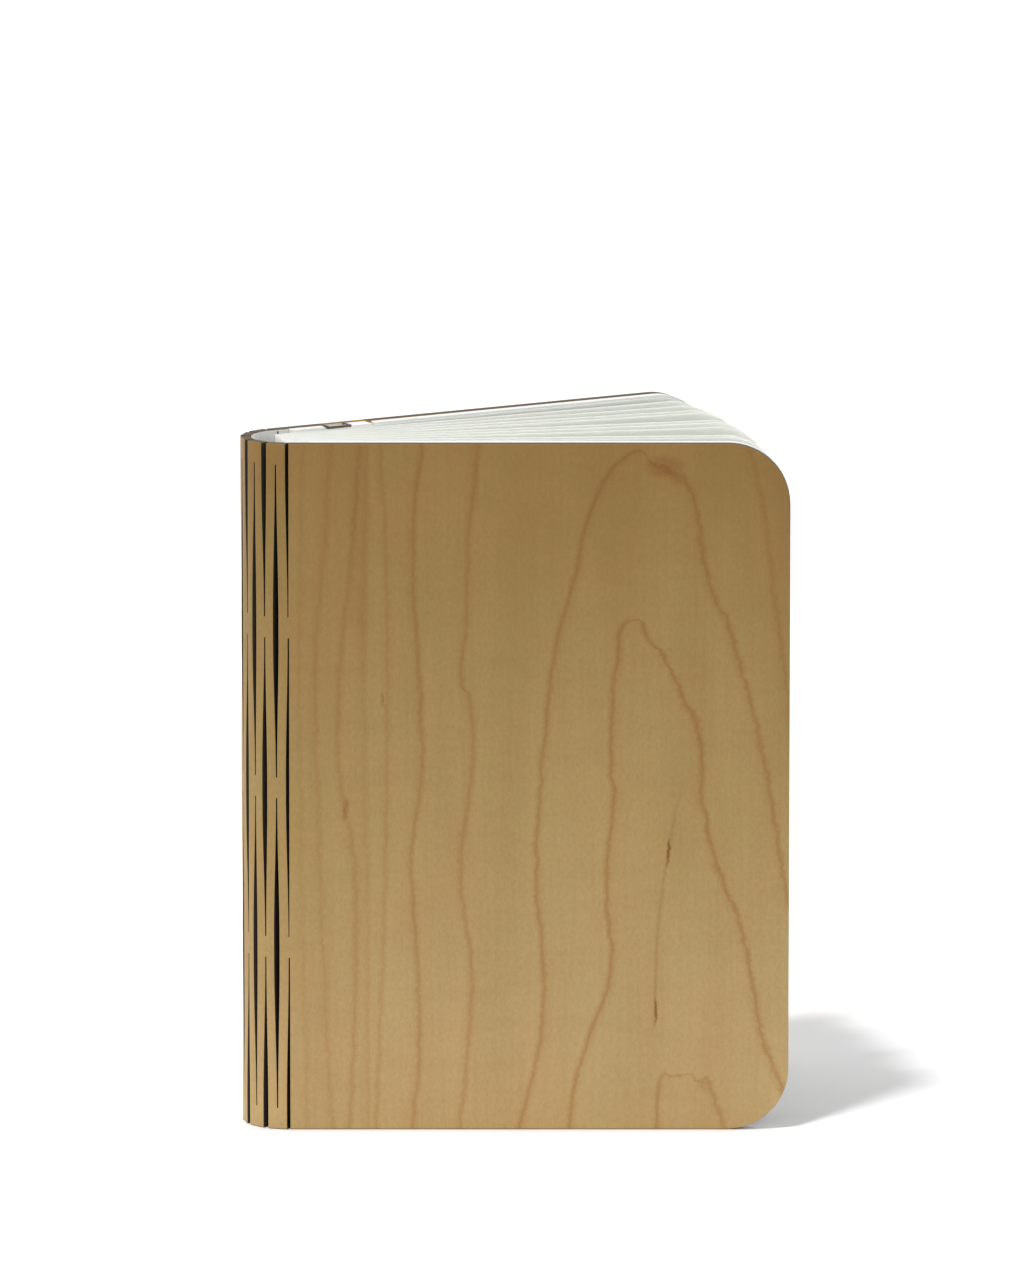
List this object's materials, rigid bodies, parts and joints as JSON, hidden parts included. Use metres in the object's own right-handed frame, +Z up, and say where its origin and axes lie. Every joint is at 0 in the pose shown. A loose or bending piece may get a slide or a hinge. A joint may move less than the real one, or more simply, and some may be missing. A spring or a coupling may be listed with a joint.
{
  "type": "folding book lamp",
  "caption": "Rechargeable book-shaped lamp: veneered covers joined by a lattice-cut wooden spine that bends, with a pleated fan of translucent leaves and a light inside.",
  "frame": {"origin": "centre of the footprint of the lamp standing open as in the picture, on the surface it stands on", "axes": "+Z up along the spine, +X from the spine towards the front cover's free edge, +Y from the front cover towards the back cover"},
  "size_m": [0.1688, 0.1022, 0.215],
  "materials": {
    "maple": "satin, open-pored veneer with laser-darkened cut edges",
    "white_board": "matt white foamed board",
    "page_sheet": "matt white non-woven sheet",
    "lining": "matt white non-woven sheet",
    "led_board": "white solder mask",
    "led": "yellow phosphor",
    "adhesive": "foam tape",
    "flat_lead": "amber film",
    "white_plastic": "moulded, fine texture",
    "circuit_board": "green solder mask",
    "chips": "moulded black",
    "socket_metal": "nickel-plated",
    "battery_pouch": "satin foil",
    "wire": "insulated",
    "reed_glass": "tinted glass",
    "magnet": "nickel-plated"
  },
  "bodies": {
    "front_cover": {"front_cover": "maple", "front_board": "white_board", "front_endpaper": "page_sheet", "switch_magnet": "magnet", "front_magnets": "magnet"},
    "rib_1": {"spine_rib_1": "maple", "spine_strip_1": "maple", "spine_strip_2": "maple", "page_leaf_1": "page_sheet", "page_fold_1": "page_sheet"},
    "link_1": {"spine_link_1": "maple", "page_leaf_2": "page_sheet", "page_fold_2": "page_sheet"},
    "rib_2": {"spine_rib_2": "maple", "spine_strip_3": "maple", "spine_strip_4": "maple", "page_leaf_3": "page_sheet", "page_fold_3": "page_sheet"},
    "link_2": {"spine_link_2": "maple", "page_leaf_4": "page_sheet", "page_fold_4": "page_sheet"},
    "rib_3": {"spine_rib_3": "maple", "spine_strip_5": "maple", "spine_strip_6": "maple", "page_leaf_5": "page_sheet", "page_fold_5": "page_sheet", "spine_lining": "lining", "led_board": "led_board", "leds": "led", "led_pads": "adhesive", "led_ribbon": "flat_lead"},
    "link_3": {"spine_link_3": "maple", "page_leaf_6": "page_sheet", "page_fold_6": "page_sheet"},
    "rib_4": {"spine_rib_4": "maple", "spine_strip_7": "maple", "spine_strip_8": "maple", "page_leaf_7": "page_sheet", "page_fold_7": "page_sheet"},
    "link_4": {"spine_link_4": "maple", "page_leaf_8": "page_sheet", "page_fold_8": "page_sheet"},
    "rib_5": {"spine_rib_5": "maple", "spine_strip_9": "maple", "spine_strip_10": "maple", "page_leaf_9": "page_sheet", "page_fold_9": "page_sheet"},
    "back_cover": {"back_cover": "maple", "back_board": "white_board", "back_endpaper": "page_sheet", "page_fold_10": "page_sheet", "control_tray": "white_plastic", "control_board": "circuit_board", "control_chips": "chips", "charge_socket": "socket_metal", "battery": "battery_pouch", "battery_leads": "wire", "reed_switch": "reed_glass", "back_magnets": "magnet"}
  },
  "joints": [
    {"name": "spine_bend_1", "type": "hinge", "parent": "front_cover", "child": "rib_1", "pos_m": [-0.07132, -0.04929, 0], "axis": [0, 0, 1], "range_deg": [-2.9, 33.75], "deforming": ["spine_strip_1", "page_fold_1"]},
    {"name": "spine_bend_2", "type": "hinge", "parent": "rib_1", "child": "link_1", "pos_m": [-0.07465, -0.0484, 0], "axis": [0, 0, 1], "range_deg": [-2.9, 33.75], "deforming": ["spine_strip_2", "page_fold_2"]},
    {"name": "spine_bend_3", "type": "hinge", "parent": "link_1", "child": "rib_2", "pos_m": [-0.07764, -0.04666, 0], "axis": [0, 0, 1], "range_deg": [-2.9, 33.75], "deforming": ["spine_strip_3", "page_fold_3"]},
    {"name": "spine_bend_4", "type": "hinge", "parent": "rib_2", "child": "link_2", "pos_m": [-0.08006, -0.04421, 0], "axis": [0, 0, 1], "range_deg": [-2.9, 33.75], "deforming": ["spine_strip_4", "page_fold_4"]},
    {"name": "spine_bend_5", "type": "hinge", "parent": "link_2", "child": "rib_3", "pos_m": [-0.08177, -0.04121, 0], "axis": [0, 0, 1], "range_deg": [-2.9, 33.75], "deforming": ["spine_strip_5", "page_fold_5", "spine_lining"]},
    {"name": "spine_bend_6", "type": "hinge", "parent": "rib_3", "child": "link_3", "pos_m": [-0.08263, -0.03787, 0], "axis": [0, 0, 1], "range_deg": [-2.9, 33.75], "deforming": ["spine_strip_6", "page_fold_6", "led_ribbon"]},
    {"name": "spine_bend_7", "type": "hinge", "parent": "link_3", "child": "rib_4", "pos_m": [-0.08259, -0.03442, 0], "axis": [0, 0, 1], "range_deg": [-2.9, 33.75], "deforming": ["spine_strip_7", "page_fold_7"]},
    {"name": "spine_bend_8", "type": "hinge", "parent": "rib_4", "child": "link_4", "pos_m": [-0.08166, -0.0311, 0], "axis": [0, 0, 1], "range_deg": [-2.9, 33.75], "deforming": ["spine_strip_8", "page_fold_8"]},
    {"name": "spine_bend_9", "type": "hinge", "parent": "link_4", "child": "rib_5", "pos_m": [-0.07989, -0.02813, 0], "axis": [0, 0, 1], "range_deg": [-2.9, 33.75], "deforming": ["spine_strip_9", "page_fold_9"]},
    {"name": "spine_bend_10", "type": "hinge", "parent": "rib_5", "child": "back_cover", "pos_m": [-0.07742, -0.02573, 0], "axis": [0, 0, 1], "range_deg": [-2.9, 33.75], "deforming": ["spine_strip_10", "page_fold_10"]}
  ],
  "couplings": [
    {"joint": "spine_bend_2", "follows": "spine_bend_1", "ratio": 1},
    {"joint": "spine_bend_3", "follows": "spine_bend_1", "ratio": 1},
    {"joint": "spine_bend_4", "follows": "spine_bend_1", "ratio": 1},
    {"joint": "spine_bend_5", "follows": "spine_bend_1", "ratio": 1},
    {"joint": "spine_bend_6", "follows": "spine_bend_1", "ratio": 1},
    {"joint": "spine_bend_7", "follows": "spine_bend_1", "ratio": 1},
    {"joint": "spine_bend_8", "follows": "spine_bend_1", "ratio": 1},
    {"joint": "spine_bend_9", "follows": "spine_bend_1", "ratio": 1},
    {"joint": "spine_bend_10", "follows": "spine_bend_1", "ratio": 1}
  ]
}
